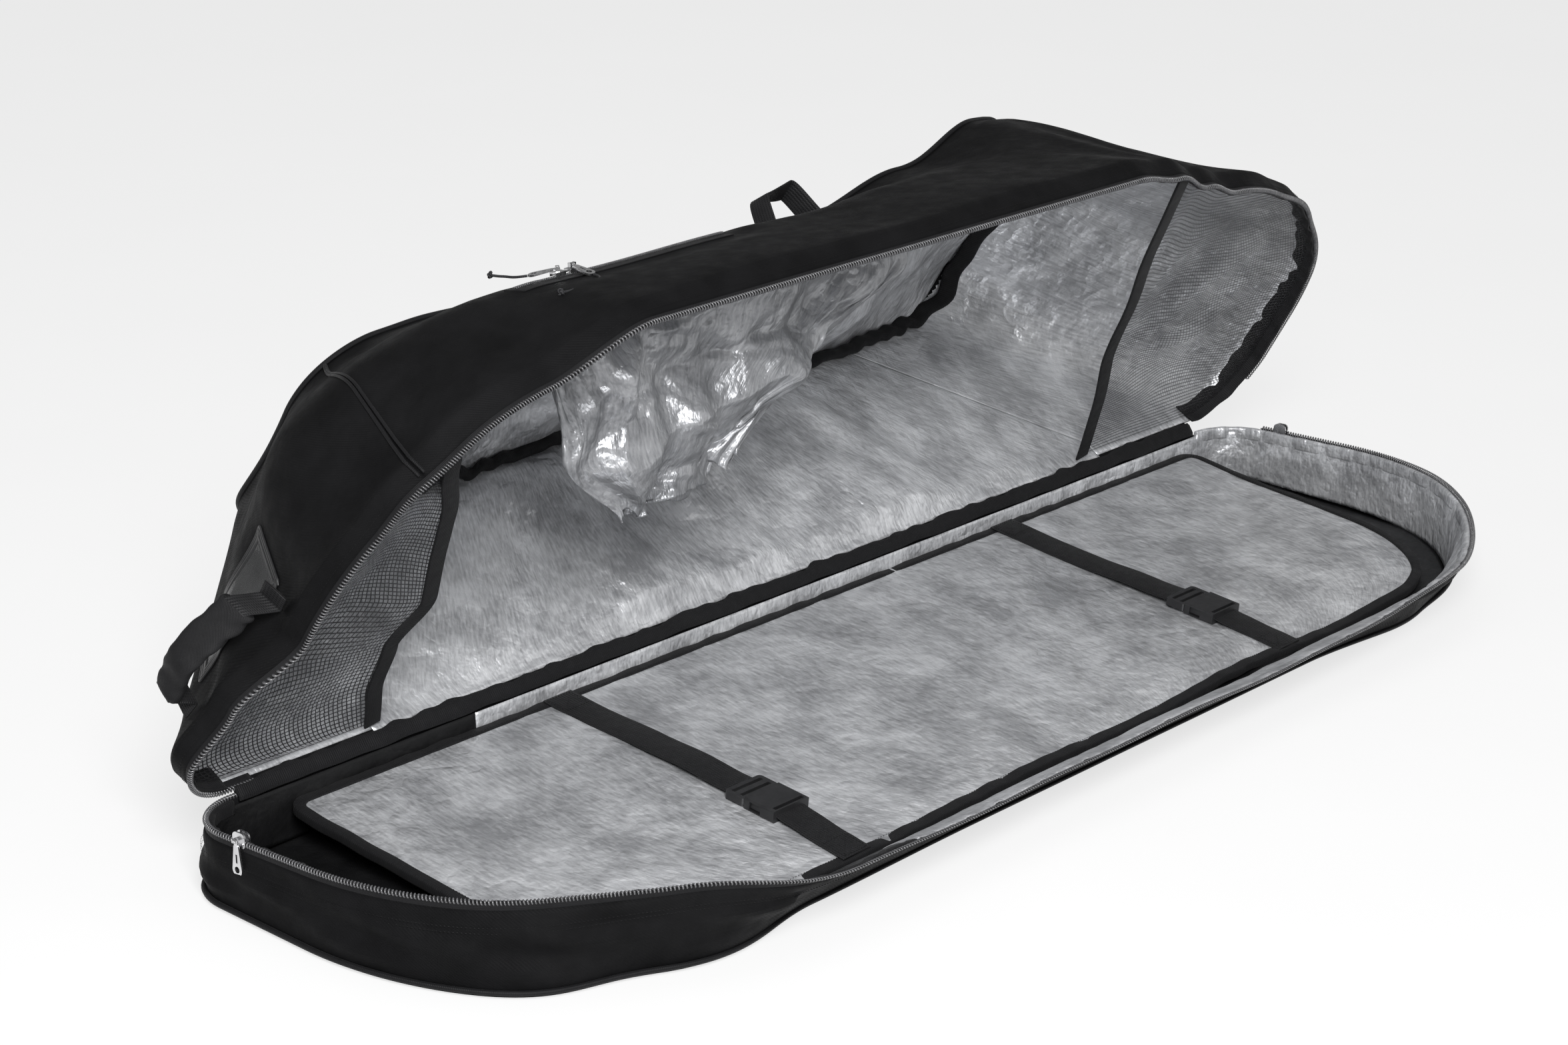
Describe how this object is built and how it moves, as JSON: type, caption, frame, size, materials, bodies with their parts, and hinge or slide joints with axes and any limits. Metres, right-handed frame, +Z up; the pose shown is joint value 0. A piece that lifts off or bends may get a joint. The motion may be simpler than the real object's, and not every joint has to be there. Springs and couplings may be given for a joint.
{
  "type": "snowboard bag",
  "caption": "Long padded board bag, opened flat: shallow tray with a divider mat and buckled straps, and a deep boot-box lid hinged along its back.",
  "frame": {"origin": "on the ground, under the middle of the base tray", "axes": "+X along the bag towards its right end, -Y towards the mouth side (the viewer), +Z up"},
  "size_m": [1.5833, 0.681, 0.5023],
  "materials": {
    "black_cloth": "black polyester twill with a coated back",
    "floor_cloth": "smooth black coated cloth",
    "foam": "closed-cell foam",
    "board_plastic": "thin plastic board",
    "silver_lining": "crinkled silver coated cloth with a fine weave",
    "piping": "black welt cord",
    "zip_tape": "black woven zip tape",
    "zip_coil": "black coil teeth",
    "binding": "ribbed black grosgrain binding",
    "mesh": "black knitted pocket mesh",
    "webbing": "black woven webbing",
    "handle_cloth": "padded black cloth sleeve",
    "buckle_plastic": "black moulded acetal",
    "slider_chrome": "bright plated zinc",
    "pull_cord": "black braided cord",
    "id_vinyl": "black vinyl with a stitched border",
    "id_clear": "clear flexible vinyl",
    "card": "plain pale card"
  },
  "bodies": {
    "base": {"base_floor_board": "board_plastic", "base_floor_lining": "floor_cloth", "base_floor_panel": "black_cloth", "base_floor_piping": "piping", "base_rim_roll": "silver_lining", "base_wall": "black_cloth", "base_wall_foam": "foam", "base_wall_lining": "silver_lining", "base_zip_coil": "zip_coil", "base_zip_tape": "zip_tape", "hinge_strip": "black_cloth"},
    "lid": {"hinge_binding": "binding", "id_frame": "id_vinyl", "id_window": "id_clear", "lid_front_gusset": "black_cloth", "lid_gusset_lining": "silver_lining", "lid_hinge_gusset": "black_cloth", "lid_left_gusset": "black_cloth", "lid_right_gusset": "black_cloth", "lid_rim_band": "black_cloth", "lid_rim_binding": "binding", "lid_roof_foam": "foam", "lid_roof_lining": "silver_lining", "lid_roof_panel": "black_cloth", "lid_roof_piping": "piping", "lid_seam_piping_left": "piping", "lid_seam_piping_right": "piping", "lid_zip_coil": "zip_coil", "lid_zip_tape": "zip_tape", "mesh_pocket_left": "mesh", "mesh_pocket_left_binding": "binding", "mesh_pocket_right": "mesh", "mesh_pocket_right_binding": "binding", "pocket_pouch": "silver_lining", "pocket_zip_coil": "zip_coil", "pocket_zip_tape": "zip_tape"},
    "mat": {"buckle_left_socket": "buckle_plastic", "buckle_right_socket": "buckle_plastic", "divider_mat": "silver_lining", "mat_binding": "binding", "strap_left_long": "webbing", "strap_left_short": "webbing", "strap_right_long": "webbing", "strap_right_short": "webbing"},
    "end_handle": {"end_handle": "handle_cloth"},
    "carry_handle": {"carry_handle": "webbing"},
    "id_card": {"id_card": "card"},
    "plug_left": {"buckle_left_plug": "buckle_plastic"},
    "pocket_slider_left": {"pocket_slider_left": "slider_chrome"},
    "pocket_pull_left": {"pocket_pull_left": "slider_chrome", "pocket_cord_left": "pull_cord"},
    "main_slider_left": {"main_slider_left": "slider_chrome"},
    "main_pull_left": {"main_pull_left": "slider_chrome"},
    "plug_right": {"buckle_right_plug": "buckle_plastic"},
    "pocket_slider_right": {"pocket_slider_right": "slider_chrome"},
    "pocket_pull_right": {"pocket_pull_right": "slider_chrome", "pocket_cord_right": "pull_cord"},
    "main_slider_right": {"main_slider_right": "slider_chrome"},
    "main_pull_right": {"main_pull_right": "slider_chrome"}
  },
  "joints": [
    {"name": "lid_hinge", "type": "hinge", "parent": "base", "child": "lid", "pos_m": [0, 0.235, 0.07], "axis": [-1, 0, 0], "range_deg": [-58.91, 30]},
    {"name": "mat_hinge", "type": "hinge", "parent": "base", "child": "mat", "pos_m": [0, 0.2278, 0.046], "axis": [-1, 0, 0], "range_deg": [0, 45]},
    {"name": "buckle_left_release", "type": "slide", "parent": "mat", "child": "plug_left", "axis": [0, 0.9969, 0.0781], "range_m": [0, 0.03]},
    {"name": "buckle_right_release", "type": "slide", "parent": "mat", "child": "plug_right", "axis": [0, 0.9969, 0.0781], "range_m": [0, 0.03]},
    {"name": "pocket_slider_left_slide", "type": "slide", "parent": "lid", "child": "pocket_slider_left", "axis": [-1, 0, 0], "range_m": [0, 0.048]},
    {"name": "pocket_pull_left_swing", "type": "hinge", "parent": "pocket_slider_left", "child": "pocket_pull_left", "pos_m": [-0.39, 0.16601, 0.49519], "axis": [0.6428, 0.7628, -0.0702], "range_deg": [0, 150]},
    {"name": "pocket_slider_right_slide", "type": "slide", "parent": "lid", "child": "pocket_slider_right", "axis": [1, 0, 0], "range_m": [0, 0.19]},
    {"name": "pocket_pull_right_swing", "type": "hinge", "parent": "pocket_slider_right", "child": "pocket_pull_right", "pos_m": [-0.372, 0.16601, 0.49519], "axis": [-1, 0, 0], "range_deg": [0, 150]},
    {"name": "main_slider_left_slide", "type": "slide", "parent": "base", "child": "main_slider_left", "axis": [0, -0.9986, 0.0531], "range_m": [0, 0.075]},
    {"name": "main_pull_left_swing", "type": "hinge", "parent": "main_slider_left", "child": "main_pull_left", "pos_m": [-0.7838, 0.15012, 0.07451], "axis": [0, 0.9986, -0.0531], "range_deg": [0, 100]},
    {"name": "main_slider_right_slide", "type": "slide", "parent": "base", "child": "main_slider_right", "axis": [0, -0.9986, 0.0531], "range_m": [0, 0.075]},
    {"name": "main_pull_right_swing", "type": "hinge", "parent": "main_slider_right", "child": "main_pull_right", "pos_m": [0.7838, 0.15012, 0.07451], "axis": [0, -0.9986, 0.0531], "range_deg": [0, 100]},
    {"name": "end_handle_flop", "type": "hinge", "parent": "lid", "child": "end_handle", "pos_m": [-0.75873, 0.22299, 0.21991], "axis": [0, 0.4695, -0.8829], "range_deg": [0, 60]},
    {"name": "carry_handle_flop", "type": "hinge", "parent": "lid", "child": "carry_handle", "pos_m": [0.095, 0.3117, 0.45735], "axis": [-1, 0, 0], "range_deg": [0, 40]},
    {"name": "id_card_slide", "type": "slide", "parent": "lid", "child": "id_card", "axis": [0, -0.4695, 0.8829], "range_m": [0, 0.06]}
  ]
}
